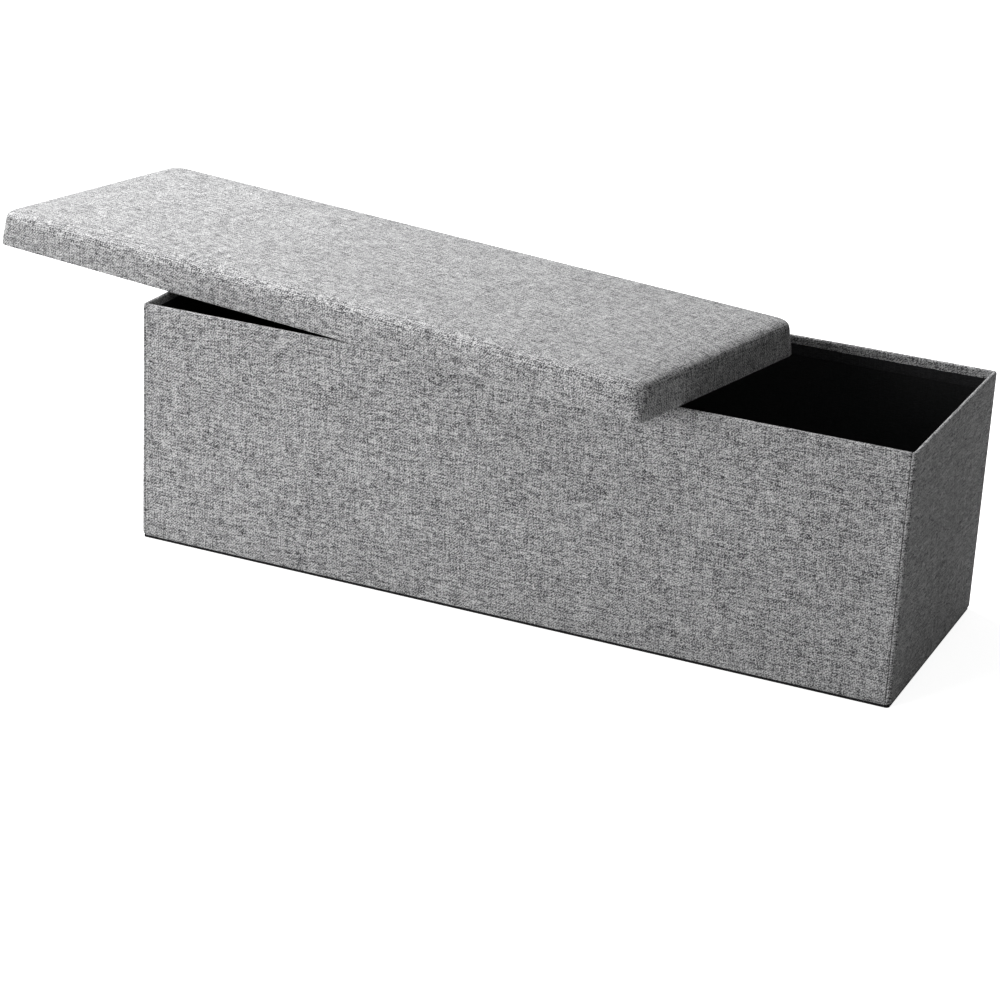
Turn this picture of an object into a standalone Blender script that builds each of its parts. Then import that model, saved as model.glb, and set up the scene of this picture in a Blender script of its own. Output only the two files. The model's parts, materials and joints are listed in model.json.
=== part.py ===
"""Folding storage bench: an upholstered box of six hinged wall panels, a loose base board and a padded lid.

Metres, +Z up, -Y is the front, +X is the right-hand end. The origin is on the floor under the box's middle.
The lid lies askew on the rim, slid towards the left end, so that the right end of the box stands open.
"""

import math

import bmesh
import bpy
from mathutils import Matrix, Vector

# Driving dimensions of the box
BOX_LENGTH = 1.100
BOX_DEPTH = 0.370
BOX_HEIGHT = 0.345
FABRIC = 0.0010
BOARD = 0.0034
GAP = 0.0003
WALL = 2 * FABRIC + BOARD + 2 * GAP
HEM_DROP = 0.012
TAPE_WIDTH = 0.015

# Base: a cloth on the floor with a loose board on it
BASE_CLOTH = 0.0007
BASE_BOARD = 0.0025
BASE_INSET = 0.0015
BOARD_FOOT = BASE_CLOTH + GAP
WALL_FOOT = BOARD_FOOT + BASE_BOARD + GAP

# Lid
LID_OVERHANG = 0.004
LID_LENGTH = BOX_LENGTH + 2 * LID_OVERHANG
LID_DEPTH = BOX_DEPTH + 2 * LID_OVERHANG
LID_THICKNESS = 0.055
LID_BOARD = 0.012
LID_CORNER = 0.024
LID_EDGE = 0.020
LID_HEM = 0.030
LID_SEAT = BOX_HEIGHT + GAP
LID_SHIFT = Vector((-0.285, 0.015))
LID_TURN = math.radians(-11.2)

# Fold lines: each wall turns about an upright line on the face that closes
REAR_PIVOT = Vector((BOX_LENGTH / 2 - WALL, BOX_DEPTH / 2 - WALL - GAP))
CENTRE_PIVOT = Vector((BOX_LENGTH / 2 + GAP / 2, 0.0))
HALF_LENGTH = REAR_PIVOT.y - GAP
HALF_MIDDLE = GAP / 2 + HALF_LENGTH / 2

# Rounding steps, and how far a cutter stands out of what it cuts
CORNER_STEPS = 6
EDGE_STEPS = 5
LEAST_CORNER = 0.001
SMALL = 0.0001
BEYOND = 0.010

# Finishes: colour, roughness
FINISHES = {
    "cover": ((0.300, 0.300, 0.305, 1.0), 0.95),
    "lining": ((0.012, 0.012, 0.013, 1.0), 0.90),
    "tape": ((0.022, 0.022, 0.024, 1.0), 0.80),
    "board": ((0.330, 0.215, 0.120, 1.0), 0.75),
    "foam": ((0.780, 0.740, 0.600, 1.0), 1.00),
}


def clear_scene():
    """Removes every object that the file opened with."""
    for obj in list(bpy.data.objects):
        bpy.data.objects.remove(obj, do_unlink=True)


def collection(name):
    """Makes a collection under the scene's own."""
    made = bpy.data.collections.new(name)
    bpy.context.scene.collection.children.link(made)
    return made


def material(name, finish):
    """A Principled material in one of the finishes above."""
    colour, roughness = FINISHES[finish]
    made = bpy.data.materials.new(name)
    made.use_nodes = True
    shader = made.node_tree.nodes["Principled BSDF"]
    shader.inputs["Base Color"].default_value = colour
    shader.inputs["Roughness"].default_value = roughness
    shader.inputs["Metallic"].default_value = 0.0
    made.diffuse_color = colour
    return made


def finished(bm):
    """Turns working geometry into a mesh."""
    mesh = bpy.data.meshes.new("solid")
    bm.to_mesh(mesh)
    bm.free()
    return mesh


def box(low, high):
    """A box between two corners."""
    low, high = Vector(low), Vector(high)
    size = high - low
    bm = bmesh.new()
    bmesh.ops.create_cube(bm, size=1.0)
    bmesh.ops.transform(bm, matrix=Matrix.Diagonal((*size, 1.0)), verts=bm.verts)
    bmesh.ops.translate(bm, vec=(low + high) / 2, verts=bm.verts)
    return finished(bm)


def solid(name, mesh, finish, place):
    """A part made from a mesh, in the parts' collection, at a place."""
    obj = bpy.data.objects.new(name, mesh)
    mesh.materials.append(material(name, finish))
    PARTS.objects.link(obj)
    place(obj)
    return obj


def cut(obj, name, mesh, place):
    """Cuts a mesh out of a part. The cutter stands at the same place as the part."""
    tool = bpy.data.objects.new(name, mesh)
    tool.hide_render = True
    tool.display_type = "WIRE"
    CUTTERS.objects.link(tool)
    place(tool)
    boolean = obj.modifiers.new(name, "BOOLEAN")
    boolean.operation = "DIFFERENCE"
    boolean.solver = "EXACT"
    boolean.object = tool


def empty(name, at, parent=None):
    """An empty on a joint's upright axis, given in world places."""
    made = bpy.data.objects.new(name, None)
    made.empty_display_size = 0.05
    PARTS.objects.link(made)
    made.location = (at.x, at.y, 0.0)
    if parent:
        made.parent = parent
        made.matrix_parent_inverse = Matrix.Translation(-WORLD_OF[parent.name])
    WORLD_OF[name] = Vector((at.x, at.y, 0.0))
    return made


def placer(x, y, z, turn, parent):
    """Returns a function that puts an object at a world place, turned about +Z, under a joint's empty."""

    def place(obj):
        obj.location = (x, y, z)
        obj.rotation_euler = (0.0, 0.0, turn)
        if parent:
            obj.parent = parent
            obj.matrix_parent_inverse = Matrix.Translation(-WORLD_OF[parent.name])

    return place


def panel(name, length, x, y, turn, parent):
    """One wall panel: a board in a fabric sleeve that turns over the rim, with a tape and a lining inside.

    In the panel's own axes x runs along the wall, y = 0 is its outer face and y = WALL its inner face.
    """
    place = placer(x, y, 0.0, turn, parent)
    half = length / 2
    pocket = half - FABRIC
    filling = pocket - GAP
    hem = BOX_HEIGHT - HEM_DROP
    tape_top = hem - GAP
    tape_foot = tape_top - TAPE_WIDTH
    cover = solid(f"{name}_cover", box((-half, 0.0, WALL_FOOT), (half, WALL, BOX_HEIGHT)), "cover", place)
    pocket_low = (-pocket, FABRIC, WALL_FOOT - BEYOND)
    cut(cover, f"{name}_pocket", box(pocket_low, (pocket, WALL - FABRIC, BOX_HEIGHT - FABRIC)), place)
    cut(cover, f"{name}_window", box(pocket_low, (pocket, WALL + BEYOND, hem)), place)
    board_low = (-filling, FABRIC + GAP, WALL_FOOT)
    board_high = (filling, FABRIC + GAP + BOARD, BOX_HEIGHT - FABRIC - GAP)
    solid(f"{name}_board", box(board_low, board_high), "board", place)
    inner = WALL - FABRIC
    solid(f"{name}_tape", box((-filling, inner, tape_foot), (filling, WALL, tape_top)), "tape", place)
    lining_top = tape_foot - GAP
    solid(f"{name}_lining", box((-filling, inner, WALL_FOOT), (filling, WALL, lining_top)), "lining", place)


def long_walls(front_hinge):
    """The back wall stands still. The front wall hangs on the left front half of the end."""
    panel("back", BOX_LENGTH, 0.0, BOX_DEPTH / 2, math.pi, None)
    panel("front", BOX_LENGTH, 0.0, -BOX_DEPTH / 2, 0.0, front_hinge)


def end_walls():
    """Each end is two halves that fold inwards at the middle. Returns the front wall's hinge."""
    front_hinge = None
    for side, sign in (("left", -1.0), ("right", 1.0)):
        rear = Vector((sign * REAR_PIVOT.x, REAR_PIVOT.y))
        centre = Vector((sign * CENTRE_PIVOT.x, CENTRE_PIVOT.y))
        face = sign * BOX_LENGTH / 2
        turn = sign * math.pi / 2
        rear_hinge = empty(f"{side}_rear_hinge", rear)
        centre_hinge = empty(f"{side}_centre_hinge", centre, rear_hinge)
        panel(f"{side}_rear", HALF_LENGTH, face, HALF_MIDDLE, turn, rear_hinge)
        panel(f"{side}_front", HALF_LENGTH, face, -HALF_MIDDLE, turn, centre_hinge)
        if side == "left":
            front_hinge = empty("front_hinge", Vector((rear.x, -rear.y)), centre_hinge)
    return front_hinge


def base():
    """The cloth that meets the floor and the loose board on it."""
    x = BOX_LENGTH / 2 - BASE_INSET
    y = BOX_DEPTH / 2 - BASE_INSET
    place = placer(0.0, 0.0, 0.0, 0.0, None)
    solid("base_cloth", box((-x, -y, 0.0), (x, y, BASE_CLOTH)), "lining", place)
    solid("base_board", box((-x, -y, BOARD_FOOT), (x, y, BOARD_FOOT + BASE_BOARD)), "board", place)


def layer(inset, low, high, edge=0.0):
    """A layer of the lid: round upright corners, and a round top edge if one is asked for."""
    size = (LID_LENGTH - 2 * inset, LID_DEPTH - 2 * inset, high - low, 1.0)
    bm = bmesh.new()
    bmesh.ops.create_cube(bm, size=1.0)
    bmesh.ops.transform(bm, matrix=Matrix.Diagonal(size), verts=bm.verts)
    bmesh.ops.translate(bm, vec=(0.0, 0.0, (low + high) / 2), verts=bm.verts)
    corner = max(LID_CORNER - inset, LEAST_CORNER)
    upright = [e for e in bm.edges if abs(e.verts[0].co.z - e.verts[1].co.z) > SMALL]
    bmesh.ops.bevel(bm, geom=upright, offset=corner, segments=CORNER_STEPS, profile=0.5, affect="EDGES")
    if edge > 0.0:
        rim = [e for e in bm.edges if all(v.co.z > high - SMALL for v in e.verts)]
        bmesh.ops.bevel(bm, geom=rim, offset=edge, segments=EDGE_STEPS, profile=0.5, affect="EDGES")
    return finished(bm)


def lid():
    """The lid: a cover drawn over foam and a board and tucked under, and a cloth that closes it below."""
    pole = (Matrix.Identity(2) - Matrix.Rotation(LID_TURN, 2)).inverted() @ LID_SHIFT
    hinge = empty("lid_pivot", pole)
    place = placer(LID_SHIFT.x, LID_SHIFT.y, LID_SEAT, LID_TURN, hinge)
    inside = FABRIC + GAP
    board_top = inside + LID_BOARD
    room_top = LID_THICKNESS - FABRIC
    cover = solid("lid_cover", layer(0.0, 0.0, LID_THICKNESS, LID_EDGE), "cover", place)
    cut(cover, "lid_room", layer(FABRIC, FABRIC, room_top, LID_EDGE - FABRIC), place)
    cut(cover, "lid_mouth", layer(LID_HEM, -BEYOND, FABRIC + SMALL), place)
    solid("lid_board", layer(inside, inside, board_top), "board", place)
    solid("lid_foam", layer(inside, board_top + GAP, room_top - GAP, LID_EDGE - inside), "foam", place)
    solid("lid_underside", layer(LID_HEM + GAP, GAP, FABRIC), "lining", place)


WORLD_OF = {}
clear_scene()
PARTS = collection("storage_bench")
CUTTERS = collection("cutters")
long_walls(end_walls())
base()
lid()
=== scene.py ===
"""A folding storage bench in grey heather cloth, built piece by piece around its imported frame.

Metres, +Z up, -Y is the front and +X the open right-hand end.
"""

import json
import math

import bmesh
import bpy
import numpy as np
from bpy.props import FloatProperty, FloatVectorProperty, PointerProperty
from mathutils import Matrix, Vector


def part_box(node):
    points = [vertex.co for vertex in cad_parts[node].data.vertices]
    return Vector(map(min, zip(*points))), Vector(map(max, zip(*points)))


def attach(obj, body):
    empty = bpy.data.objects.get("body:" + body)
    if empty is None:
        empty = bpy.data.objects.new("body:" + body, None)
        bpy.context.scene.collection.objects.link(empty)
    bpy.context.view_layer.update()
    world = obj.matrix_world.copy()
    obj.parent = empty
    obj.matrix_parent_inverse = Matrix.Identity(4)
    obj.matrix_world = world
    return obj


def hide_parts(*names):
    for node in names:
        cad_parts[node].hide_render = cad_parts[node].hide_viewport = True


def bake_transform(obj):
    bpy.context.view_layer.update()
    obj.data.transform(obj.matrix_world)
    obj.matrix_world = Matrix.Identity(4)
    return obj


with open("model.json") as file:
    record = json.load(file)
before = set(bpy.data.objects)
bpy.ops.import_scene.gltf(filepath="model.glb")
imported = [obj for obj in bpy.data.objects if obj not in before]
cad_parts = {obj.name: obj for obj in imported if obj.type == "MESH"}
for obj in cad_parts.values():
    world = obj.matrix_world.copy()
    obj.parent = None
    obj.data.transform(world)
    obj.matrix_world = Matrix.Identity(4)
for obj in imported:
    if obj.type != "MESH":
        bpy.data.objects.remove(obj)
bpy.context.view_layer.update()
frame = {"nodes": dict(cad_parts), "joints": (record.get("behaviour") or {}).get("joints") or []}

bl_info = {
    "name": "Folding storage bench",
    "version": (1, 0, 0),
    "blender": (4, 5, 0),
    "location": "3D View > Sidebar > Bench",
    "description": "Builds the cloth, boards and padded lid of a folding storage bench",
    "category": "Object",
}

MM = 0.001
UV_NAME = "Weave"
LONG_WALLS = ("front", "back")
ENDS = ("left", "right")
PIVOTS = {joint["name"]: Vector(joint["pos_m"]) for joint in frame["joints"]}
FOLD_REACH = 4 * MM
CREASE_REACH = 1.7 * MM
CORNER_RUN = 9.7 * MM
COARSE = 12 * MM
TUCK = 4.5 * MM
SWELL_FRAMES = 20
PRESSURE = 4
UNDERSIDE_INSET = 22 * MM
BLACK = (0.0, 0.0, 0.0, 1.0)
WHITE = (1.0, 1.0, 1.0, 1.0)
CAMERA_PLACE = (1.3693, -3.2977, 1.5078)


# ---------------------------------------------------------------- settings


def length(name, description, default, low=0.0, high=1.0):
    """A length that a user can change, in metres."""
    return FloatProperty(
        name=name, description=description, default=default, min=low, max=high, unit="LENGTH", precision=5
    )


def share(name, description, default, low=0.0, high=1.0):
    """A plain number that a user can change."""
    return FloatProperty(name=name, description=description, default=default, min=low, max=high)


def colour(name, description, default):
    """A colour that a user can change."""
    return FloatVectorProperty(
        name=name, description=description, default=default, subtype="COLOR", size=3, min=0.0, max=1.0
    )


class ClothSettings(bpy.types.PropertyGroup):
    """The heather cloth of the walls and the lid."""

    thick: length("Cloth", "Thickness of the heather cloth", 0.8 * MM)
    hem: length("Hem", "How far the cloth turns down inside the rim", 12 * MM)
    pitch: length("Thread", "Width of one thread of the weave", 1.1 * MM)
    dash: length("Dash", "Length over which a thread keeps its tone", 12 * MM)
    relief: length("Relief", "Depth of the soft unevenness of a stretched wall", 0.35 * MM)
    groove: length("Groove", "Depth of the crease beside each corner", 2.3 * MM)
    dark: colour("Dark yarn", "Colour of the darkest yarn", (0.050, 0.050, 0.053))
    middle: colour("Middle yarn", "Colour of the middle yarn", (0.330, 0.330, 0.337))
    light: colour("Light yarn", "Colour of the lightest yarn", (0.760, 0.760, 0.760))


class InnerSettings(bpy.types.PropertyGroup):
    """The black lining, the binding tape and the boards."""

    thick: length("Lining", "Thickness of the lining", 0.6 * MM)
    tape: length("Tape", "Thickness of the binding tape", 0.7 * MM)
    stitch: length("Stitch", "Distance from one stitch to the next", 4 * MM)
    lining: colour("Lining colour", "Colour of the lining", (0.0085, 0.0085, 0.0092))
    tape_colour: colour("Tape colour", "Colour of the binding tape", (0.018, 0.018, 0.0195))
    base_colour: colour("Base colour", "Colour of the cloth under the walls", (0.052, 0.052, 0.054))
    board: colour("Board colour", "Colour of the pressed fibre boards", (0.330, 0.215, 0.120))


class LidSettings(bpy.types.PropertyGroup):
    """The padded lid."""

    corner: length("Corner", "Radius of the upright corners at the foot", 10 * MM)
    edge: length("Edge", "Depth over which the top edge turns down", 11 * MM)
    shoulder: length("Shoulder", "How far in from the side the top starts to turn down", 25 * MM)
    foot: length("Foot", "Radius of the lower edge", 2.2 * MM)
    swell: length("Swell", "How far the padding may push the cloth out", 1.6 * MM)
    slack: length("Slack", "How much lower the top starts, before it swells", 2 * MM)
    crown: length("Crown", "How much higher the padding is in the middle than along its sides", 1.6 * MM)
    cell: length("Cell", "Size of the cloth's cells", 6.8 * MM)


class StageSettings(bpy.types.PropertyGroup):
    """The camera and the light."""

    lens: share("Lens", "Focal length in millimetres", 100.05, 20.0, 300.0)
    turn: share("Turn", "Camera's angle round the bench in degrees", 23.759, -180.0, 180.0)
    tilt: share("Tilt", "Camera's angle down in degrees", 21.474, 0.0, 90.0)
    roll: share("Roll", "Camera's roll in degrees", 2.910, -10.0, 10.0)
    floor: colour("Floor", "Colour of the floor", (0.93, 0.93, 0.93))
    lift: share("Floor glow", "How much brighter the camera sees the floor", 0.84, 0.0, 2.0)
    room: share("Room", "Brightness of the pale room around the bench", 0.2, 0.0, 2.0)
    overhead: share("Overhead", "Power of the soft box overhead in watts", 85.0, 0.0, 1000.0)
    front: share("Front", "Power of the soft box in front in watts", 66.0, 0.0, 1000.0)


SETTINGS = {
    "bench_cloth": ClothSettings,
    "bench_inner": InnerSettings,
    "bench_lid": LidSettings,
    "bench_stage": StageSettings,
}


# ---------------------------------------------------------------- nodes


class Wiring:
    """Adds nodes to a tree. An input is a plain value or another node's socket."""

    def __init__(self, tree):
        self.tree = tree

    def add(self, kind, inputs=None, out=0, **settings):
        """One node. Its inputs are named or numbered, and one of its outputs is returned."""
        made = self.tree.nodes.new(kind)
        for key, value in settings.items():
            setattr(made, key, value)
        for key, value in (inputs or {}).items():
            if isinstance(value, bpy.types.NodeSocket):
                self.tree.links.new(value, made.inputs[key])
            else:
                made.inputs[key].default_value = value
        return made.outputs[out]

    def sum(self, operation, first, second=0.0, third=0.0):
        """A Math node."""
        return self.add("ShaderNodeMath", {0: first, 1: second, 2: third}, operation=operation)

    def spread(self, value, low, high, to_low=0.0, to_high=1.0):
        """A value stretched from one range to another, and held inside it."""
        return self.add("ShaderNodeMapRange", {0: value, 1: low, 2: high, 3: to_low, 4: to_high})

    def mix(self, share_of_second, first, second, blend="MIX"):
        """A mix of two colours."""
        made = {0: share_of_second, 6: first, 7: second}
        return self.add("ShaderNodeMix", made, out=2, data_type="RGBA", blend_type=blend)

    def between(self, share_of_second, first, second):
        """A mix of two numbers."""
        return self.add("ShaderNodeMix", {0: share_of_second, 2: first, 3: second}, data_type="FLOAT")

    def point(self, x, y, z=0.0):
        """A vector from its parts."""
        return self.add("ShaderNodeCombineXYZ", {0: x, 1: y, 2: z})

    def noise(self, place, scale, detail=2.0, rough=0.5):
        """Smooth noise in the plane of the first two coordinates."""
        inputs = {"Vector": place, "Scale": scale, "Detail": detail, "Roughness": rough}
        return self.add("ShaderNodeTexNoise", inputs, noise_dimensions="2D")

    def chance(self, place):
        """One random number for each place."""
        return self.add("ShaderNodeTexWhiteNoise", {"Vector": place}, noise_dimensions="2D")


def rgba(values):
    """A colour with full opacity."""
    return (*values, 1.0)


def effect(name, inputs, outputs, build):
    """A shader node group with named inputs and outputs, built once."""
    found = bpy.data.node_groups.get(name)
    if found:
        return found
    group = bpy.data.node_groups.new(name, "ShaderNodeTree")
    for label, kind, default in inputs:
        socket = group.interface.new_socket(name=label, in_out="INPUT", socket_type=f"NodeSocket{kind}")
        if default is not None:
            socket.default_value = default
    for label, kind in outputs:
        group.interface.new_socket(name=label, in_out="OUTPUT", socket_type=f"NodeSocket{kind}")
    wiring = Wiring(group)
    source = group.nodes.new("NodeGroupInput").outputs
    results = build(wiring, source)
    sink = group.nodes.new("NodeGroupOutput")
    for label, value in results.items():
        group.links.new(value, sink.inputs[label])
    return group


def slubs(w, run, thread, offset):
    """A thread's tone along its run: slubs of one tone each, which start elsewhere on every thread."""
    own = w.sum("ADD", thread, offset)
    start = w.sum("MULTIPLY", w.chance(w.point(own, 0.5)), 9.0)
    crisp = w.chance(w.point(w.sum("FLOOR", w.sum("ADD", run, start)), own))
    soft = w.noise(w.point(run, w.sum("MULTIPLY", own, 5.17)), 1.3, 1.0, 0.5)
    return w.between(0.35, crisp, w.spread(soft, 0.25, 0.75))


def threads(w, source):
    """The tones and heights of a weave in pairs, and painted shade where the thread pairs meet: warp along y,
    weft along x, two over and two under.
    """
    place = w.add("ShaderNodeSeparateXYZ", {0: source["Place"]}).node.outputs
    x, y = place[0], place[1]
    waver = w.noise(source["Place"], 55.0, 1.0)
    bend = w.sum("MULTIPLY", w.sum("SUBTRACT", waver, 0.5), source["Waver"])
    across = w.sum("ADD", w.sum("DIVIDE", x, source["Pitch"]), bend)
    down = w.sum("ADD", w.sum("DIVIDE", y, source["Pitch"]), bend)
    column, row = w.sum("FLOOR", across), w.sum("FLOOR", down)
    pair_x, pair_y = w.sum("MULTIPLY", across, 0.5), w.sum("MULTIPLY", down, 0.5)
    run_x, run_y = w.sum("DIVIDE", x, source["Dash"]), w.sum("DIVIDE", y, source["Dash"])
    warp_run = slubs(w, w.sum("MULTIPLY", run_y, 0.5), column, 0.0)
    weft_run = slubs(w, run_x, row, 300.0)
    over = w.sum("FLOORED_MODULO", w.sum("ADD", w.sum("FLOOR", pair_x), w.sum("FLOOR", pair_y)), 2.0)
    pale = w.between(over, w.sum("FLOORED_MODULO", row, 2.0), w.sum("FLOORED_MODULO", column, 2.0))
    slub = w.between(w.spread(over, 0.0, 1.0, 0.1, 0.6), weft_run, warp_run)
    fleck = w.chance(w.point(column, row))
    tone = w.sum("ADD", w.sum("MULTIPLY", w.sum("SUBTRACT", slub, 0.5), source["Contrast"]), 0.5)
    tone = w.sum("ADD", tone, w.sum("MULTIPLY", w.sum("SUBTRACT", fleck, 0.5), source["Fleck"]))
    tone = w.sum("ADD", tone, w.sum("MULTIPLY", w.sum("SUBTRACT", pale, 0.5), source["Twist"]))
    humps = [
        w.sum("SINE", w.sum("MULTIPLY", w.sum("FRACT", value), math.pi))
        for value in (pair_x, pair_y, across, down)
    ]
    thread = w.between(over, humps[3], humps[2])
    pillow = w.sum("MULTIPLY", humps[0], humps[1])
    height = w.sum("ADD", w.sum("MULTIPLY", thread, 0.35), w.sum("MULTIPLY", pillow, 0.8))
    height = w.sum("ADD", height, w.sum("MULTIPLY", slub, 0.45))
    # Painted shade: the colour darkens towards Gap where the thread pairs meet.
    shade = w.spread(pillow, 0.0, 0.5, source["Gap"], 1.0)
    return {"Tone": w.sum("MINIMUM", w.sum("MAXIMUM", tone, 0.0), 1.0), "Height": height, "Shade": shade}


def weave_group():
    """The weave, which the heather cloth, the lining and the tape all use."""
    inputs = [
        ("Place", "Vector", None),
        ("Pitch", "Float", 1 * MM),
        ("Dash", "Float", 9 * MM),
        ("Contrast", "Float", 2.0),
        ("Fleck", "Float", 0.3),
        ("Twist", "Float", 0.3),
        ("Waver", "Float", 0.6),
        ("Gap", "Float", 0.4),
    ]
    outputs = [("Tone", "Float"), ("Height", "Float"), ("Shade", "Float")]
    return effect("Paired weave", inputs, outputs, threads)


def handling(w, source):
    """Broad unevenness of a surface in use: soft patches, and rare pale specks of lint."""
    patches = w.noise(source["Place"], 7.0, 3.0, 0.6)
    patch = w.spread(patches, 0.3, 0.7, source["Depth"], 1.0)
    fibre = w.noise(source["Place"], 420.0, 1.0)
    lint = w.sum("MULTIPLY", w.spread(fibre, 0.77, 0.82), source["Lint"])
    return {"Patch": patch, "Lint": lint}


def handling_group():
    """Handling marks, which every surface of the bench uses."""
    inputs = [("Place", "Vector", None), ("Depth", "Float", 0.93), ("Lint", "Float", 0.2)]
    return effect("Handling", inputs, [("Patch", "Float"), ("Lint", "Float")], handling)


def material(name, rough, sheen=0.0, specular=0.3):
    """A material with its Principled shader, and the wiring of its tree."""
    made = bpy.data.materials.new(name)
    made.use_nodes = True
    shader = made.node_tree.nodes["Principled BSDF"]
    shader.inputs["Roughness"].default_value = rough
    shader.inputs["Specular IOR Level"].default_value = specular
    shader.inputs["Sheen Weight"].default_value = sheen
    shader.inputs["Sheen Roughness"].default_value = 0.55
    return made, shader, Wiring(made.node_tree)


def woven(name, colours, pitch, dash, contrast, fleck, relief, sheen, rough=0.9, lint=0.0, twist=0.0):
    """A woven cloth: the weave's tone picks a colour from dark to light, painted shade darkens it between
    thread pairs, and its threads stand proud.
    """
    made, shader, w = material(name, rough, sheen, 0.25)
    place = w.add("ShaderNodeUVMap", uv_map=UV_NAME)
    weave = w.add("ShaderNodeGroup", {}, node_tree=weave_group()).node
    values = {"Pitch": pitch, "Dash": dash, "Contrast": contrast, "Fleck": fleck}
    # Gap sets how dark the painted shade between thread pairs is.
    values |= {"Twist": twist, "Waver": 0.25, "Gap": 0.55}
    for key, value in values.items():
        weave.inputs[key].default_value = value
    w.tree.links.new(place, weave.inputs["Place"])
    marks = w.add("ShaderNodeGroup", {}, node_tree=handling_group()).node
    marks.inputs["Lint"].default_value = lint
    w.tree.links.new(place, marks.inputs["Place"])
    ramp = w.add("ShaderNodeValToRGB", {0: weave.outputs["Tone"]}).node
    stops = ramp.color_ramp.elements
    stops[0].position, stops[0].color = 0.12, rgba(colours[0])
    stops[1].position, stops[1].color = 0.92, rgba(colours[2])
    stops.new(0.48).color = rgba(colours[1])
    # The weave's Shade output is painted shade between thread pairs, multiplied into the yarn colour.
    base = w.mix(1.0, ramp.outputs[0], w.point(*[weave.outputs["Shade"]] * 3), "MULTIPLY")
    base = w.mix(1.0, base, w.point(*[marks.outputs["Patch"]] * 3), "MULTIPLY")
    base = w.mix(marks.outputs["Lint"], base, (0.6, 0.6, 0.6, 1.0))
    w.tree.links.new(base, shader.inputs["Base Color"])
    roughness = w.spread(weave.outputs["Tone"], 0.0, 1.0, rough + 0.06, rough - 0.06)
    w.tree.links.new(roughness, shader.inputs["Roughness"])
    bump = {"Strength": relief, "Distance": 0.45 * MM, "Height": weave.outputs["Height"]}
    w.tree.links.new(w.add("ShaderNodeBump", bump), shader.inputs["Normal"])
    return made


def heather():
    """The grey heather cloth."""
    found = bpy.data.materials.get("Heather cloth")
    if found:
        return found
    s = bpy.context.scene.bench_cloth
    colours = (s.dark, s.middle, s.light)
    return woven("Heather cloth", colours, s.pitch, s.dash, 1.08, 0.8, 0.45, 0.2, lint=0.05, twist=0.25)


def black_cloth(name, base, pitch, relief):
    """A fine black cloth."""
    found = bpy.data.materials.get(name)
    if found:
        return found
    tones = [tuple(v * k for v in base) for k in (0.55, 1.0, 1.7)]
    return woven(name, tones, pitch, 5 * MM, 1.4, 0.3, relief, 0.04, 0.85, lint=0.02)


def lining_cloth():
    """The lining's material."""
    return black_cloth("Black lining", bpy.context.scene.bench_inner.lining, 0.45 * MM, 0.35)


def base_cloth():
    """The dark cloth under the walls."""
    return black_cloth("Base cloth", bpy.context.scene.bench_inner.base_colour, 0.9 * MM, 0.5)


def tape_cloth():
    """The binding tape's material."""
    return black_cloth("Black tape", bpy.context.scene.bench_inner.tape_colour, 0.8 * MM, 0.7)


def fibre_board():
    """Pressed fibre board: a fine mottle of fibres, with a few dark chips."""
    found = bpy.data.materials.get("Fibre board")
    if found:
        return found
    made, shader, w = material("Fibre board", 0.75)
    place = w.add("ShaderNodeTexCoord", out=3)
    fibre = w.add(
        "ShaderNodeTexNoise", {"Vector": place, "Scale": 480.0, "Detail": 4.0, "Roughness": 0.7}
    )
    chips = w.add("ShaderNodeTexVoronoi", {"Vector": place, "Scale": 260.0}, out=1)
    chip = w.add("ShaderNodeSeparateColor", {0: chips})
    base = rgba(bpy.context.scene.bench_inner.board)
    dark = rgba([v * 0.45 for v in base[:3]])
    pale = rgba([min(1.0, v * 1.5) for v in base[:3]])
    tint = w.mix(w.spread(fibre, 0.35, 0.65), base, pale)
    tint = w.mix(w.spread(chip, 0.9, 0.95), tint, dark)
    w.tree.links.new(tint, shader.inputs["Base Color"])
    w.tree.links.new(w.spread(fibre, 0.3, 0.7, 0.68, 0.85), shader.inputs["Roughness"])
    bump = {"Strength": 0.4, "Distance": 0.3 * MM, "Height": fibre}
    w.tree.links.new(w.add("ShaderNodeBump", bump), shader.inputs["Normal"])
    return made


# ---------------------------------------------------------------- meshes


def ripple(along, up, seed, long=0.26, short=0.05, waves=9):
    """Soft unevenness between 0 and 1 over a surface: a few long waves at set angles."""
    rng = np.random.default_rng(seed)
    total = np.zeros(np.broadcast(along, up).shape)
    weight = 0.0
    for _ in range(waves):
        wave = rng.uniform(short, long)
        angle, start = rng.uniform(0, math.pi), rng.uniform(0, 2 * math.pi)
        size = wave**0.5
        weight += size
        total += size * np.sin(2 * math.pi * (along * math.cos(angle) + up * math.sin(angle)) / wave + start)
    return np.clip(0.5 + total / weight * 1.1, 0.0, 1.0)


def mesh_object(name, verts, faces, uv, made_of):
    """An object from places, faces and each place's spot on the flat cloth."""
    mesh = bpy.data.meshes.new(name)
    mesh.from_pydata([tuple(v) for v in verts], [], [tuple(f) for f in faces])
    bm = bmesh.new()
    bm.from_mesh(mesh)
    bmesh.ops.recalc_face_normals(bm, faces=bm.faces)
    bm.to_mesh(mesh)
    bm.free()
    layer = mesh.uv_layers.new(name=UV_NAME)
    index = np.empty(len(mesh.loops), np.int64)
    mesh.loops.foreach_get("vertex_index", index)
    layer.data.foreach_set("uv", np.asarray(uv, np.float32)[index].ravel())
    mesh.shade_smooth()
    mesh.set_sharp_from_angle(angle=math.radians(38))
    mesh.materials.append(made_of)
    obj = bpy.data.objects.new(name, mesh)
    bpy.context.scene.collection.objects.link(obj)
    return obj


def quads(index):
    """The faces between the neighbours of a grid of vertex numbers."""
    corners = (index[:-1, :-1], index[:-1, 1:], index[1:, 1:], index[1:, :-1])
    return np.stack(corners, axis=-1).reshape(-1, 4)


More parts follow.
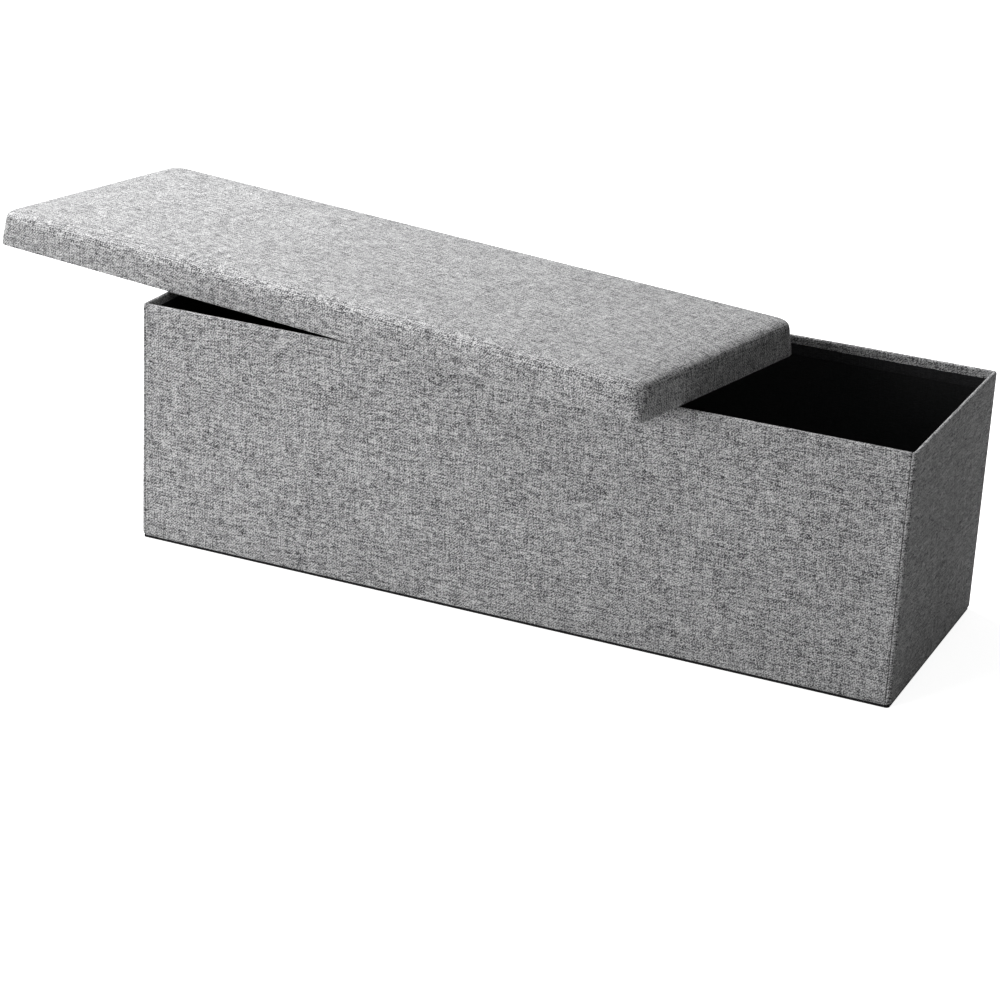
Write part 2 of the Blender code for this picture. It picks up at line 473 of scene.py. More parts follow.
def shell(name, grid, thick, uv, made_of):
    """A cloth of even thickness. The grid holds the places of its outer face, uv their spots on the cut."""
    rows, columns = grid.shape[:2]
    normal = np.cross(np.gradient(grid, axis=1), np.gradient(grid, axis=0))
    normal /= np.maximum(np.linalg.norm(normal, axis=2, keepdims=True), 1e-12)
    under = grid - normal * thick
    count = rows * columns
    top = np.arange(count).reshape(rows, columns)
    low = top + count
    loop = np.concatenate([top[0, :-1], top[:-1, -1], top[-1, :0:-1], top[:0:-1, 0]])
    beside = np.roll(loop, -1)
    rim = np.stack([loop, beside, beside + count, loop + count], axis=-1)
    faces = np.concatenate([quads(top), quads(low)[:, ::-1], rim])
    verts = np.concatenate([grid.reshape(-1, 3), under.reshape(-1, 3)])
    spots = np.concatenate([uv.reshape(-1, 2)] * 2)
    return mesh_object(name, verts, faces.tolist(), spots, made_of)


def run_of(points):
    """The distance along a line of points, from its first."""
    steps = np.linalg.norm(np.diff(points, axis=0), axis=1)
    return np.concatenate([[0.0], np.cumsum(steps)])


def graded(low, high, step, fine, reach, edges=(True, True)):
    """Numbers from low to high, a step apart, and closer together near the ends that are asked for."""
    numbers = list(np.linspace(low, high, max(2, round((high - low) / step) + 1)))
    near = np.arange(0.0, reach, fine)
    for wanted, edge, way in zip(edges, (low, high), (1, -1)):
        if wanted:
            numbers = [n for n in numbers if abs(n - edge) > reach]
            numbers += list(edge + way * near)
    return np.array(sorted(numbers))


def with_fold(columns):
    """Columns that are closer together near the middle, where the cloth folds."""
    near = np.arange(-8 * MM, 8.1 * MM, 0.5 * MM)
    return np.array(sorted([*columns[np.abs(columns) > 9 * MM], *near]))


def paired(across, up):
    """Two sets of numbers as points, each repeated over the other's rows or columns."""
    return np.stack(np.broadcast_arrays(across, up), axis=-1)


def arc(centre, radius, start, stop, steps):
    """Points on an arc, angles in degrees."""
    angles = np.radians(np.linspace(start, stop, steps + 1))
    return np.stack([centre[0] + radius * np.cos(angles), centre[1] + radius * np.sin(angles)], axis=1)


class Wall:
    """A wall's own axes: along runs to the right as seen from outside, deep inwards from the outer face."""

    def __init__(self, *panels):
        boxes = [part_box(f"{panel}_cover") for panel in panels]
        low = Vector([min(box[0][i] for box in boxes) for i in range(3)])
        high = Vector([max(box[1][i] for box in boxes) for i in range(3)])
        middle, size = (low + high) / 2, high - low
        thin = 1 if size.x > size.y else 0
        out = Vector((0.0, 0.0, 0.0))
        out[thin] = math.copysign(1.0, middle[thin])
        self.panels = panels
        self.out = np.array(out)
        self.right = np.array(Vector((0.0, 0.0, 1.0)).cross(out))
        self.thick = size[thin]
        self.half = size[1 - thin] / 2
        self.foot, self.top = low.z, high.z
        self.base = self.out * abs(high[thin] if middle[thin] > 0 else low[thin])

    def places(self, along, deep, up):
        """Places in the bench's own axes."""
        along, deep, up = np.broadcast_arrays(along, deep, up)
        flat = self.base + along[..., None] * self.right - deep[..., None] * self.out
        flat[..., 2] += up
        return flat


def cover_line(thick, foot, top, hem):
    """The cloth's line across a wall: from the tuck under the foot, up, over the rim, down to the hem."""
    r, turn = thick / 2, 2.0 * MM
    tuck = [(TUCK, foot), (3.2 * MM, foot)]
    under = arc((turn, foot + turn), turn, 270, 180, 4)
    up = [(0.0, z) for z in np.linspace(foot + turn, top - r, 30)[1:-1]]
    over = arc((r, top - r), r, 180, 0, 10)
    down = [(thick, z) for z in np.linspace(top - r, top - hem, 5)[1:]]
    return np.concatenate([tuck, under, up, over, down])


def line_normals(line):
    """The outward directions beside a line across a wall."""
    step = np.gradient(line, axis=0)
    step /= np.linalg.norm(step, axis=1, keepdims=True)
    return np.stack([-step[:, 1], step[:, 0]], axis=1)


def crease(gap, depth, reach):
    """How far the cloth turns in at a distance from its edge: a quarter round."""
    near = np.clip(1.0 - gap / reach, 0.0, 1.0)
    return depth * (1.0 - np.sqrt(np.clip(1.0 - near**2, 0.0, 1.0)))


def cover_grid(wall, columns, inward, seed, dip=None):
    """The outer face of a wall's cloth. inward is how far each column turns in, dip lowers the rim."""
    s = bpy.context.scene.bench_cloth
    line = cover_line(wall.thick, wall.foot, wall.top, s.hem)
    across = line_normals(line)
    along = columns[None, :]
    deep = line[:, 0][:, None] + 0.0 * along
    up = line[:, 1][:, None] + 0.0 * along
    flat = (line[:, 0] < MM / 10)[:, None]
    hold = np.clip((up - wall.foot) / 0.02, 0, 1) * np.clip((wall.top - up) / 0.02, 0, 1)
    hold = hold * np.clip((wall.half - np.abs(along)) / 0.04, 0, 1)
    deep = deep + flat * s.relief * hold * ripple(along, up, seed)
    hem = np.clip((wall.top - 6 * MM - up) / (6 * MM), 0, 1) * (line[:, 0][:, None] > wall.thick - MM / 10)
    up = up + hem * 0.9 * MM * (ripple(along, 0.0 * up, seed + 50, 0.11, 0.02) - 0.5)
    rim = np.clip((up - wall.top + 3.2 * MM) / (3.2 * MM), 0, 1)
    up = up - rim * 0.35 * MM * ripple(along, 0.0 * up, seed + 90, 0.22, 0.03)
    deep = deep - across[:, 0][:, None] * inward[None, :]
    up = up - across[:, 1][:, None] * inward[None, :]
    if dip is not None:
        up = up - rim * dip[None, :]
    run = run_of(line)
    return wall.places(along, deep, up), paired(along + seed * 3.1, run[:, None]), run[-1]


def settle(piece, bodies, nodes=()):
    """Hides the solids that a piece replaces, and hangs the piece from its body, or bakes its place into its
    mesh when it lies between two.
    """
    if nodes:
        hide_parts(*nodes)
    if len(bodies) == 1:
        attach(piece, bodies[0])
    else:
        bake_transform(piece)


def fold_bodies(side):
    """The two halves of an end, and the places between which their cloth bends.

    Each end starts from the half that turns its cloth inwards at a full fold.
    """
    x = PIVOTS[f"{side}_centre_fold"].x
    first, second, y = ("rear", "front", FOLD_REACH) if side == "left" else ("front", "rear", -FOLD_REACH)
    return (f"{side}_{first}_half", f"{side}_{second}_half"), (x, y, 0.0), (x, -y, 0.0)


def end_wall(side):
    """An end's two halves as one wall."""
    return Wall(f"{side}_rear", f"{side}_front")


# ---------------------------------------------------------------- operators


class BENCH_OT_wall_covers(bpy.types.Operator):
    """Draws the heather cloth over the four sides, with its rim and its hem inside"""

    bl_idname = "bench.wall_covers"
    bl_label = "Wall covers"

    def execute(self, context):
        s = context.scene.bench_cloth
        reach = abs(PIVOTS["right_rear_fold"].x)
        for seed, name in enumerate(LONG_WALLS):
            wall = Wall(name)
            columns = graded(-reach, reach, COARSE, 0.25 * MM, 2.1 * MM)
            inward = crease(reach - np.abs(columns), s.groove, CREASE_REACH)
            grid, spots, across = cover_grid(wall, columns, inward, seed + 1)
            piece = shell(f"{name}_cloth", grid, s.thick, spots, heather())
            settle(piece, [f"{name}_wall"], [f"{name}_cover"])
        for seed, side in enumerate(ENDS):
            wall = end_wall(side)
            half = PIVOTS["right_rear_fold"].y
            columns = with_fold(graded(-half, half, COARSE, 1.5 * MM, 5 * MM))
            fold = np.exp(-((columns / (2.2 * MM)) ** 2))
            dip = 1.1 * MM * fold
            inward = 0.25 * MM * fold
            grid, spots, across = cover_grid(wall, columns, inward, seed + 11, dip)
            piece = shell(f"{side}_end_cloth", grid, s.thick, spots, heather())
            bodies, start, end = fold_bodies(side)
            covers = [f"{side}_rear_cover", f"{side}_front_cover"]
            settle(piece, bodies, covers)
        return {"FINISHED"}


def corner_grid(wide, deep, top, foot, groove):
    """The cloth round an upright corner: a quarter round from the long wall's edge, with the rim over it."""
    steps = np.concatenate([[0.0, 0.03, 0.07, 0.12, 0.18], np.linspace(0.25, 1.0, 9)])
    turn_in = crease(steps * 9.5 * MM, groove, CREASE_REACH)
    rows = []
    for share_round, inward in zip(steps, turn_in):
        out = wide * (1.0 - share_round) + deep * share_round
        r = out / 2
        bottom = 2.0 * MM + 2.2 * MM * math.sin(math.pi * share_round)
        tuck = [(out - TUCK, foot)]
        under = arc((out - bottom, foot + bottom), bottom, 270, 360, 5)
        up = [(out, z) for z in np.linspace(foot + bottom, top - r, 30)[1:-1]]
        over = arc((r, top - r), r, 0, 172, 10)
        down = [(0.25 * MM, top - 4.5 * MM), (0.25 * MM, top - 12 * MM)]
        line = np.concatenate([tuck, under, up, over, down])
        normal = -line_normals(line)
        line = line - normal * inward
        line[:, 0] = np.maximum(line[:, 0], 0.2 * MM)
        rows.append(line)
    return np.array(rows), steps


def welt(name, pivot, way, foot, top):
    """A thin covered rod in the open corner, which hides the front board's end in a fold."""
    half, gap = 0.95 * MM, 0.85 * MM
    across = np.linspace(-half, half, 7)
    up = np.linspace(-(top - foot) / 2, (top - foot) / 2, 14)
    piece = lattice_box(name, across, across, up, 0.85 * MM, 0.8 * MM, 0.8 * MM, heather())
    middle = pivot + np.array(way) * (half + gap)
    piece.matrix_world = Matrix.Translation((middle[0], middle[1], (top + foot) / 2))
    settle(piece, ["front_wall"])


class BENCH_OT_corners(bpy.types.Operator):
    """Draws the cloth round the four upright corners, each with a crease on its long side"""

    bl_idname = "bench.corners"
    bl_label = "Corners"

    def execute(self, context):
        s = context.scene.bench_cloth
        bodies = {
            ("left", "rear"): ("back_wall", "left_rear_half"),
            ("right", "rear"): ("back_wall", "right_rear_half"),
            ("left", "front"): ("left_front_half", "front_wall"),
            ("right", "front"): ("right_front_half",),
        }
        for number, ((side, end), pair) in enumerate(bodies.items()):
            long_wall = Wall("back" if end == "rear" else "front")
            short_wall = end_wall(side)
            sx, sy = (-1.0 if side == "left" else 1.0), (1.0 if end == "rear" else -1.0)
            pivot = np.array([sx * abs(PIVOTS["right_rear_fold"].x), sy * PIVOTS["right_rear_fold"].y])
            wide = abs(long_wall.base[1]) - abs(pivot[1])
            deep = abs(short_wall.base[0]) - abs(pivot[0])
            lines, steps = corner_grid(wide, deep, long_wall.top, long_wall.foot, s.groove)
            angle = steps * math.pi / 2
            out = np.stack([sx * np.sin(angle), sy * np.cos(angle)], axis=1)
            flat = pivot + lines[:, :, 0][..., None] * out[:, None, :]
            grid = np.concatenate([flat, lines[:, :, 1][..., None]], axis=2).transpose(1, 0, 2)
            round_run = steps * CORNER_RUN
            if sx * sy > 0:
                grid, round_run = grid[:, ::-1], -round_run[::-1]
            span = run_of(lines[len(lines) // 2])
            spots = paired(round_run[None, :] + 5.0 + number, span[:, None])
            piece = shell(f"{side}_{end}_corner_cloth", grid, 0.6 * MM, spots, heather())
            if len(pair) == 1:
                foot, top = long_wall.foot + 2 * MM, long_wall.top - 3 * MM
                welt(f"{side}_{end}_corner_welt", pivot, (sx, sy), foot, top)
            settle(piece, pair, ())
        return {"FINISHED"}


def strip(name, wall, half, low, high, thick, deep, wrinkle, seed, made_of, step=COARSE, rows=3, fold=False):
    """A flat cloth with soft edges on the inside of a wall, its face that deep from the outer face."""
    columns = graded(-half, half, step, 0.4 * MM, 1.3 * MM)
    if fold:
        columns = with_fold(columns)
    up = graded(low, high, (high - low) / rows, 0.3 * MM, 0.9 * MM)
    along = columns[::-1][None, :]
    up = up[:, None]
    edge = np.minimum(np.minimum(up - low, high - up), half - np.abs(along))
    soft = crease(edge, thick * 0.45, 0.8 * MM)
    calm = np.clip(edge / 0.02, 0, 1)
    if fold:
        calm = calm * np.clip((np.abs(along) - 0.004) / 0.02, 0, 1)
    face = deep - soft - wrinkle * calm * ripple(along * 1.0, up * 0.35, seed, 0.16, 0.03)
    grid = wall.places(along + 0.0 * up, face, up + 0.0 * along)
    return shell(name, grid, thick, paired(-along + seed, up), made_of)


def stitches(name, wall, half, up, deep, step, made_of, gap=0.0):
    """A row of sewn stitches on the inside of a wall, each a short thread that dips at its ends."""
    count = int(2 * half / step) - 1
    starts = -half + step * (0.5 + np.arange(count))
    starts = starts[np.abs(starts) > gap]
    ring, thread, long = 6, 0.28 * MM, step * 0.72
    shares = np.array([0.0, 0.12, 0.5, 0.88, 1.0])
    size = np.array([0.35, 0.85, 1.0, 0.85, 0.35])
    rise = np.array([-0.9, -0.1, 0.35, -0.1, -0.9]) * thread
    angles = np.linspace(0, 2 * math.pi, ring, endpoint=False)
    verts, faces, uv = [], [], []
    for centre in starts:
        first = len(verts)
        for part, swell, lift in zip(shares, size, rise):
            along = centre + (part - 0.5) * long
            around = wall.places(
                np.full(ring, along),
                deep + lift + thread * swell * np.sin(angles),
                up + thread * swell * np.cos(angles),
            )
            verts += [tuple(p) for p in around]
            uv += [(along, float(a) * thread) for a in angles]
        index = first + np.arange(5 * ring).reshape(5, ring)
        joined = np.concatenate([index, index[:, :1]], axis=1)
        faces += quads(joined).tolist()
        faces += [index[0, ::-1].tolist(), index[-1].tolist()]
    return mesh_object(name, verts, faces, uv, made_of)


class BENCH_OT_inner_cloth(bpy.types.Operator):
    """Hangs the black lining and sews the binding tape inside every wall"""

    bl_idname = "bench.inner_cloth"
    bl_label = "Lining and tape"

    def execute(self, context):
        s = context.scene.bench_inner
        for seed, name in enumerate((*LONG_WALLS, *ENDS)):
            folds = name in ENDS
            wall = end_wall(name) if folds else Wall(name)
            panels = wall.panels
            half = (PIVOTS["right_rear_fold"].y if folds else abs(PIVOTS["right_rear_fold"].x)) - 0.6 * MM
            tape_low, tape_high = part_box(f"{panels[0]}_tape")
            line_low, line_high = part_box(f"{panels[0]}_lining")
            inner = wall.thick
            span = (tape_low.z, tape_high.z + 0.3 * MM, s.tape, inner - 0.05 * MM, 0.12 * MM)
            tape = strip(f"{name}_tape_band", wall, half, *span, seed + 21, tape_cloth(), rows=4, fold=folds)
            span = (line_low.z, line_high.z + 0.3 * MM, s.thick, inner - 0.15 * MM, 0.45 * MM)
            lining = strip(
                f"{name}_lining_cloth", wall, half, *span, seed + 31, lining_cloth(), 9 * MM, 26, fold=folds
            )
            heights = {"upper": tape_high.z - 1.6 * MM, "lower": tape_low.z + 1.6 * MM}
            sewn = (inner - 0.32 * MM, s.stitch, tape_cloth(), 7 * MM if folds else 0.0)
            rows = [
                stitches(f"{name}_tape_stitches_{where}", wall, half - 3 * MM, z, *sewn)
                for where, z in heights.items()
            ]
            bodies, start, end = fold_bodies(name) if folds else ([f"{name}_wall"], None, None)
            tapes, linings = ([f"{panel}_{kind}" for panel in panels] for kind in ("tape", "lining"))
            settle(tape, bodies, tapes)
            settle(lining, bodies, linings)
            for piece in rows:
                settle(piece, bodies, ())
        return {"FINISHED"}


def rounded_slab(name, half_x, half_y, low, high, corner, edge, made_of):
    """A flat closed slab with soft edges, as a board wrapped in cloth has."""
    xs = graded(-half_x, half_x, COARSE, corner / 3, corner * 1.3)
    ys = graded(-half_y, half_y, COARSE, corner / 3, corner * 1.3)
    zs = np.linspace(low, high, 5)
    return lattice_box(name, xs, ys, zs, corner, edge, edge, made_of)


def lattice_box(name, xs, ys, zs, corner, top_edge, foot_edge, made_of, shoulder=None):
    """A closed box of square cells on a lattice, with round upright corners, top edge and foot edge.

    A shoulder is how far in the top edge and the corners reach at the top, where that is more.
    """
    shoulder = shoulder or corner
    nx, ny, nz = len(xs), len(ys), len(zs)
    keys, verts = {}, []

    def vertex(i, j, k):
        """The number of the vertex at a lattice point, which is made when it is first asked for."""
        if (i, j, k) not in keys:
            keys[(i, j, k)] = len(verts)
            verts.append((xs[i], ys[j], zs[k]))
        return keys[(i, j, k)]

    faces, groups = [], []

    def patch(rows, columns, at, group):
        """One side of the box."""
        for a in range(rows - 1):
            for b in range(columns - 1):
                around = ((a, b), (a + 1, b), (a + 1, b + 1), (a, b + 1))
                faces.append([vertex(*at(*corner_place)) for corner_place in around])
                groups.append(group)

    patch(nx, ny, lambda a, b: (a, b, nz - 1), 0)
    patch(nx, ny, lambda a, b: (a, b, 0), 0)
    patch(nx, nz, lambda a, b: (a, 0, b), 1)
    patch(nx, nz, lambda a, b: (a, ny - 1, b), 1)
    patch(ny, nz, lambda a, b: (0, a, b), 2)
    patch(ny, nz, lambda a, b: (nx - 1, a, b), 2)
    p = np.array(verts)
    ax, ay, low, high = xs[-1], ys[-1], zs[0], zs[-1]
    above = np.clip((p[:, 2] - low - foot_edge) / (high - low - foot_edge - top_edge / 2), 0, 1)
    wide = corner + (shoulder - corner) * above**2 * (3 - 2 * above)
    core = np.stack(
        [
            np.clip(p[:, 0], wide - ax, ax - wide),
            np.clip(p[:, 1], wide - ay, ay - wide),
            np.clip(p[:, 2], low + foot_edge, high - top_edge),
        ],
        axis=1,
    )
    upper = p[:, 2] > (low + high) / 2
    reach = np.stack([wide, wide, np.where(upper, top_edge, foot_edge)], axis=1)
    way = (p - core) / reach
    way /= np.maximum(np.linalg.norm(way, axis=1, keepdims=True), 1e-12)
    p = core + way * reach
    obj = mesh_object(name, p, faces, p[:, :2], made_of)
    spots = unrolled(p, np.array(faces), np.array(groups), ax, ay, high, corner, (shoulder + top_edge) / 2)
    layer = obj.data.uv_layers[UV_NAME]
    order = {tuple(sorted(face)): spot for face, spot in zip(faces, spots)}
    flat = np.empty((len(obj.data.loops), 2), np.float32)
    for polygon in obj.data.polygons:
        seats = list(polygon.vertices)
        spot = order[tuple(sorted(seats))]
        for loop, seat in zip(polygon.loop_indices, seats):
            flat[loop] = spot[seat]
    layer.data.foreach_set("uv", flat.ravel())
    return obj


def unrolled(p, faces, groups, ax, ay, high, corner, edge):
    """Each face's corners on the flat cloth, as it is drawn over the top edge and down the sides."""

    def over(value, drop, half):
        """The cloth's length from the middle, over the edge and down."""
        size, sign = np.abs(value), np.sign(value)
        out, left = np.clip(size - half + edge, 0, edge), np.clip(edge - drop, 0, edge)
        angle = np.where(drop < edge, np.arctan2(out, left), math.pi / 2)
        return sign * (half - edge + edge * angle + np.clip(drop - edge, 0, None))

    def around(value, half):
        """The cloth's length round an upright corner."""
        size, sign = np.abs(value), np.sign(value)
        bend = np.arcsin(np.clip((size - half + corner) / corner, 0, 1))
        return sign * np.where(size < half - corner, size, half - corner + corner * bend)

    drop = high - p[:, 2]
    choices = (
        (around(p[:, 0], ax), around(p[:, 1], ay)),
        (around(p[:, 0], ax), over(p[:, 1], drop, ay)),
        (over(p[:, 0], drop, ax), around(p[:, 1], ay)),
    )
    result = []
    for face, group in zip(faces, groups):
        u, v = choices[group]
        result.append({int(n): (u[n] + 20.0, v[n]) for n in face})
    return result


def lid_axes():
    """The lid's own axes: the middle of its underside, turned as its board lies."""
    low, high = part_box("lid_cover")
    board = frame["nodes"]["lid_board"].data
    flat = np.array([v.co[:2] for v in board.vertices])
    flat = flat - (flat.min(0) + flat.max(0)) / 2
    _, ways = np.linalg.eigh(flat.T @ flat)
    main = ways[:, -1] * math.copysign(1.0, ways[0, -1])
    middle = (low + high) / 2
    turn = Matrix.Rotation(math.atan2(main[1], main[0]), 4, "Z")
    place = Matrix.Translation((middle.x, middle.y, low.z)) @ turn
    cover = np.array([v.co[:] for v in frame["nodes"]["lid_cover"].data.vertices])
    local = (cover - place.translation) @ np.array(turn.to_3x3())
    return place, local.max(0)


def swollen(obj, held, cap):
    """Where the cloth goes when the padding pushes it out: a simulation under pressure, with a soft cap."""
    rest = np.array([v.co[:] for v in obj.data.vertices])
    group = obj.vertex_groups.new(name="held")
    group.add([int(i) for i in np.nonzero(held)[0]], 1.0, "REPLACE")
    cloth = obj.modifiers.new("Swell", "CLOTH")
    values = {"quality": 6, "mass": 0.3, "tension_stiffness": 18, "compression_stiffness": 18}
    values |= {"shear_stiffness": 8, "bending_stiffness": 1.5, "vertex_group_mass": "held"}
    values |= {"use_pressure": True, "uniform_pressure_force": PRESSURE}
    for key, value in values.items():
        setattr(cloth.settings, key, value)
    cloth.settings.effector_weights.gravity = 0
    cloth.collision_settings.use_collision = False
    cloth.point_cache.frame_start, cloth.point_cache.frame_end = 1, SWELL_FRAMES
    scene = bpy.context.scene
    for number in range(1, SWELL_FRAMES + 1):
        scene.frame_set(number)
    posed = obj.evaluated_get(bpy.context.evaluated_depsgraph_get())
    moved = np.array([v.co[:] for v in posed.data.vertices]) - rest
    normal = np.array([v.normal[:] for v in obj.data.vertices])
    inward = np.minimum(np.sum(moved * normal, axis=1, keepdims=True), 0.0)
    moved = moved - normal * inward
    scene.frame_set(1)
    obj.modifiers.remove(cloth)
    obj.vertex_groups.remove(group)
    far = np.linalg.norm(moved, axis=1, keepdims=True)
    return rest + moved * (cap * np.tanh(far / cap) / np.maximum(far, 1e-9))


def subdivided(obj):
    """The object's mesh after one smooth subdivision."""
    modifier = obj.modifiers.new("Smooth", "SUBSURF")
    modifier.levels = modifier.render_levels = 1
    modifier.uv_smooth = "NONE"
    posed = obj.evaluated_get(bpy.context.evaluated_depsgraph_get())
    mesh = bpy.data.meshes.new_from_object(posed)
    obj.modifiers.remove(modifier)
    obj.data = mesh
    mesh.shade_smooth()


class BENCH_OT_lid(bpy.types.Operator):
    """Draws the heather cloth over the lid's padding and lets it swell"""

    bl_idname = "bench.lid"
    bl_label = "Padded lid"

    def execute(self, context):
        s = context.scene.bench_lid
        place, (half_x, half_y, thick) = lid_axes()
        xs = np.linspace(-half_x, half_x, round(2 * half_x / s.cell) + 1)
        ys = np.linspace(-half_y, half_y, round(2 * half_y / s.cell) + 1)
        zs = graded(0.0, thick - s.slack, 4.5 * MM, 1.6 * MM, 3.3 * MM, (True, False))
        piece = lattice_box("lid_cloth", xs, ys, zs, s.corner, s.edge, s.foot, heather(), s.shoulder)
        verts = np.array([v.co[:] for v in piece.data.vertices])
        held = verts[:, 2] < 4 * MM
        halves = (half_x, half_y)
        inner = [np.clip((half - np.abs(verts[:, i])) / 0.12, 0, 1) for i, half in enumerate(halves)]
        full = np.prod([1.0 - (1.0 - share_in) ** 2 for share_in in inner], axis=0)
        top = np.clip((verts[:, 2] - 0.5 * thick) / (0.3 * thick), 0, 1)
        verts[:, 2] += s.crown * full * top
        piece.data.vertices.foreach_set("co", verts.astype(np.float32).ravel())
        verts = swollen(piece, held, s.swell)
        verts[:, 2] = np.clip(verts[:, 2], 0.0, thick + 1.5 * MM)
        piece.data.vertices.foreach_set("co", verts.astype(np.float32).ravel())
        subdivided(piece)
        piece.matrix_world = place
        settle(piece, ["lid"], ["lid_cover", "lid_foam"])
        return {"FINISHED"}


class BENCH_OT_boards(bpy.types.Operator):
    """Gives the boards their pressed fibre finish, and rounds the ends of the two long ones"""

    bl_idname = "bench.boards"
    bl_label = "Boards"

    def execute(self, context):
        for name, node in frame["nodes"].items():
            if name.endswith("_board") and name not in ("front_board", "back_board", "lid_board"):
                node.data.materials.clear()
                node.data.materials.append(fibre_board())
        for name in LONG_WALLS:
            low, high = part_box(f"{name}_board")
            middle, half = (low + high) / 2, (high - low) / 2
            half_x = abs(PIVOTS["right_rear_fold"].x) - 1.5 * MM
            xs = graded(-half_x, half_x, 0.1, 1 * MM, 2 * MM)
            ys = np.linspace(-half.y, half.y, 5)
            zs = np.linspace(-half.z, half.z, 5)
            piece = lattice_box(f"{name}_core_board", xs, ys, zs, 1.2 * MM, 0.6 * MM, 0.6 * MM, fibre_board())
            piece.matrix_world = Matrix.Translation(middle)
            settle(piece, [f"{name}_wall"], [f"{name}_board"])
        place, (half_x, half_y, _) = lid_axes()
        low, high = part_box("lid_board")
        gap = 3 * MM
        xs = graded(gap - half_x, half_x - gap, 0.1, 2 * MM, 8 * MM)
        ys = graded(gap - half_y, half_y - gap, 0.05, 2 * MM, 8 * MM)
        zs = np.linspace(0.6 * MM, high.z - low.z, 7)
        piece = lattice_box("lid_core_board", xs, ys, zs, 7 * MM, 1.5 * MM, 1.5 * MM, fibre_board())
        piece.matrix_world = place
        settle(piece, ["lid"], ["lid_board"])
        return {"FINISHED"}


class BENCH_OT_base(bpy.types.Operator):
    """Lays the dark base cloth and the cloth-covered base board"""

    bl_idname = "bench.base"
    bl_label = "Base"

    def execute(self, context):
        low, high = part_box("base_cloth")
        half = (high - low) / 2
        size = (half.x, half.y, low.z, high.z)
        cloth = rounded_slab("base_cloth_sheet", *size, 5 * MM, 0.3 * MM, base_cloth())
        low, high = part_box("base_board")
        board = rounded_slab(
            "base_board_covered", half.x, half.y, low.z, high.z + 0.1 * MM, 5 * MM, 0.9 * MM, lining_cloth()
        )
        settle(cloth, ["back_wall"], ["base_cloth"])
        settle(board, ["back_wall"], ["base_board"])
        return {"FINISHED"}


class BENCH_OT_underside(bpy.types.Operator):
    """Closes the lid's underside with black cloth over the tucked hem"""

    bl_idname = "bench.underside"
    bl_label = "Lid underside"

    def execute(self, context):
        place, (half_x, half_y, _) = lid_axes()
        half_x, half_y = half_x - UNDERSIDE_INSET, half_y - UNDERSIDE_INSET
        xs = graded(-half_x, half_x, COARSE, 1 * MM, 3 * MM)
        ys = graded(-half_y, half_y, COARSE, 1 * MM, 3 * MM)
        x, y = np.meshgrid(xs, ys)
        edge = np.minimum(half_x - np.abs(x), half_y - np.abs(y))
        z = -0.02 * MM - 0.16 * MM * np.clip(edge / (1 * MM), 0, 1)
        grid = np.stack([x[:, ::-1], y, z], axis=-1)
        cloth = shell("lid_dust_cloth", grid, 0.15 * MM, np.stack([x, y], axis=-1), lining_cloth())
        cloth.matrix_world = place
        settle(cloth, ["lid"], ["lid_underside"])
        return {"FINISHED"}


def light(name, size, power, place, target):
    """A soft box that points at a place."""
    data = bpy.data.lights.new(name, "AREA")
    data.shape = "RECTANGLE"
    data.size, data.size_y = size
    data.energy = power
    obj = bpy.data.objects.new(name, data)
    bpy.context.scene.collection.objects.link(obj)
    obj.location = place
    way = Vector(target) - Vector(place)
    obj.rotation_euler = way.to_track_quat("-Z", "Y").to_euler()
    return obj


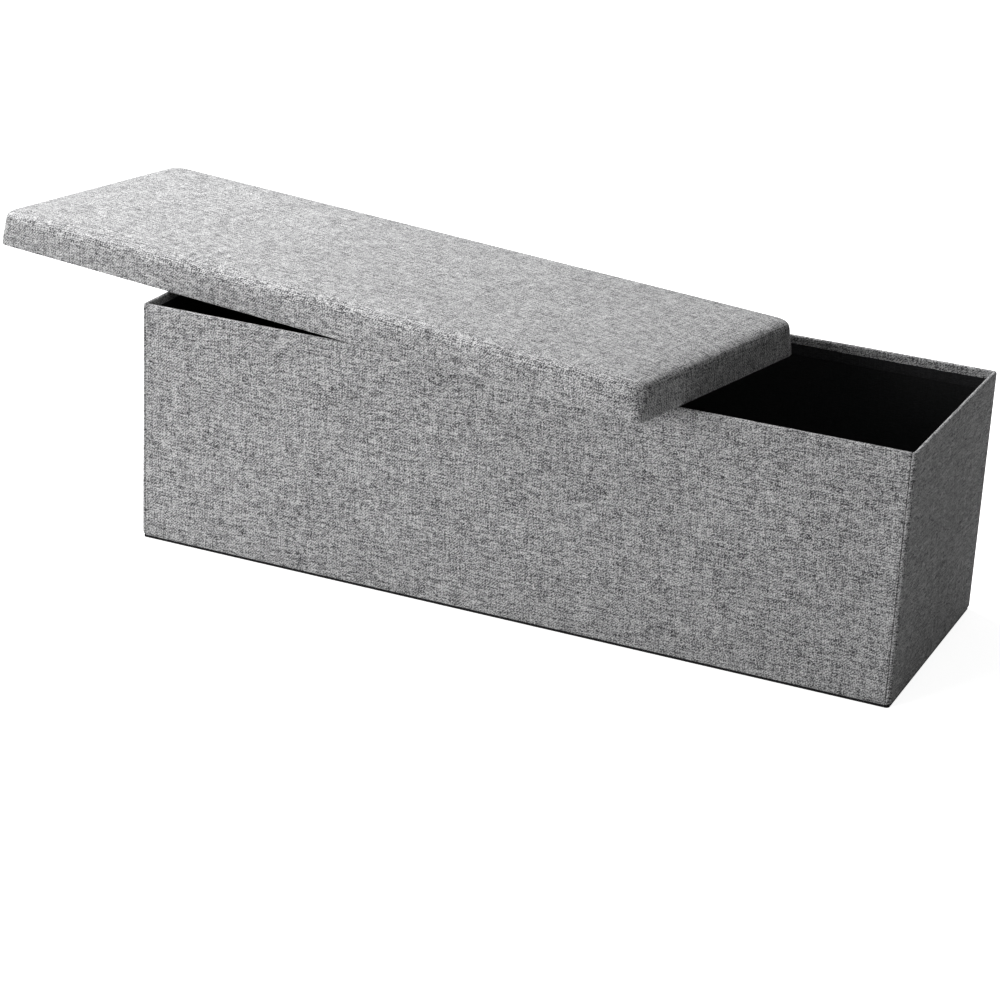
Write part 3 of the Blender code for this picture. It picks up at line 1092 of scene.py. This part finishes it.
class BENCH_OT_stage(bpy.types.Operator):
    """Sets the floor, the soft light and the camera"""

    bl_idname = "bench.stage"
    bl_label = "Stage"

    def execute(self, context):
        s = context.scene.bench_stage
        scene = context.scene
        scene.view_settings.view_transform = "Standard"
        mesh = bpy.data.meshes.new("floor")
        bm = bmesh.new()
        bmesh.ops.create_circle(bm, cap_ends=True, segments=96, radius=14.0)
        bm.to_mesh(mesh)
        bm.free()
        floor = bpy.data.objects.new("floor", mesh)
        scene.collection.objects.link(floor)
        made, shader, w = material("Pale floor", 0.9, 0.0, 0.1)
        place = w.add("ShaderNodeTexCoord", out=3)
        mottle = w.add("ShaderNodeTexNoise", {"Vector": place, "Scale": 3.0, "Detail": 3.0})
        seen = w.add("ShaderNodeLightPath", out=0)
        tint = w.mix(w.spread(mottle, 0.3, 0.7), rgba([v * 0.985 for v in s.floor]), rgba(s.floor))
        tint = w.mix(seen, (0.55, 0.55, 0.55, 1.0), tint)
        w.tree.links.new(tint, shader.inputs["Base Color"])
        glow = w.mix(seen, BLACK, WHITE)
        w.tree.links.new(glow, shader.inputs["Emission Color"])
        shader.inputs["Emission Strength"].default_value = s.lift
        mesh.materials.append(made)
        world = bpy.data.worlds.new("Pale room")
        world.use_nodes = True
        scene.world = world
        tree = world.node_tree
        tree.nodes.clear()
        w = Wiring(tree)
        strength = w.between(w.add("ShaderNodeLightPath", out=0), s.room, 1.0)
        sky = w.add("ShaderNodeBackground", {"Color": WHITE, "Strength": strength})
        tree.links.new(sky, tree.nodes.new("ShaderNodeOutputWorld").inputs[0])
        light("Overhead soft box", (1.5, 1.5), s.overhead, (-1.45, 0.55, 2.1), (-0.2, 0.0, 0.3))
        light("Front soft box", (1.8, 1.5), s.front, (-1.5, -2.7, 0.8), (-0.1, -0.2, 0.2))
        data = bpy.data.cameras.new("camera")
        data.lens, data.sensor_width = s.lens, 36.0
        data.clip_end = 100.0
        camera = bpy.data.objects.new("camera", data)
        scene.collection.objects.link(camera)
        turn, tilt, roll = (math.radians(v) for v in (s.turn, s.tilt, s.roll))
        ahead = Vector((-math.sin(turn) * math.cos(tilt), math.cos(turn) * math.cos(tilt), -math.sin(tilt)))
        right = Vector((math.cos(turn), math.sin(turn), 0.0))
        up = right.cross(ahead)
        right, up = (
            right * math.cos(roll) + up * math.sin(roll),
            up * math.cos(roll) - right * math.sin(roll),
        )
        spin = Matrix((right, up, -ahead)).transposed()
        camera.matrix_world = Matrix.Translation(CAMERA_PLACE) @ spin.to_4x4()
        scene.camera = camera
        return {"FINISHED"}


class BENCH_PT_pieces(bpy.types.Panel):
    """Lists what builds the bench"""

    bl_idname = "BENCH_PT_pieces"
    bl_label = "Storage bench"
    bl_space_type = "VIEW_3D"
    bl_region_type = "UI"
    bl_category = "Bench"

    def draw(self, context):
        for name in SETTINGS:
            group = getattr(context.scene, name)
            for key in group.__annotations__:
                self.layout.prop(group, key)
        for operator in OPERATORS:
            self.layout.operator(operator.bl_idname)


OPERATORS = (
    BENCH_OT_stage,
    BENCH_OT_wall_covers,
    BENCH_OT_corners,
    BENCH_OT_inner_cloth,
    BENCH_OT_boards,
    BENCH_OT_base,
    BENCH_OT_lid,
    BENCH_OT_underside,
)


def register():
    """Registers the settings, the operators and the panel."""
    for made in (*SETTINGS.values(), *OPERATORS, BENCH_PT_pieces):
        bpy.utils.register_class(made)
    for name, group in SETTINGS.items():
        setattr(bpy.types.Scene, name, PointerProperty(type=group))


def unregister():
    """Takes them away again."""
    for name in SETTINGS:
        delattr(bpy.types.Scene, name)
    for made in reversed((*SETTINGS.values(), *OPERATORS, BENCH_PT_pieces)):
        bpy.utils.unregister_class(made)


def main():
    """Builds the whole bench."""
    register()
    for operator in OPERATORS:
        group, name = operator.bl_idname.split(".")
        getattr(getattr(bpy.ops, group), name)()
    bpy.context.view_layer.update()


if __name__ == "__main__":
    main()
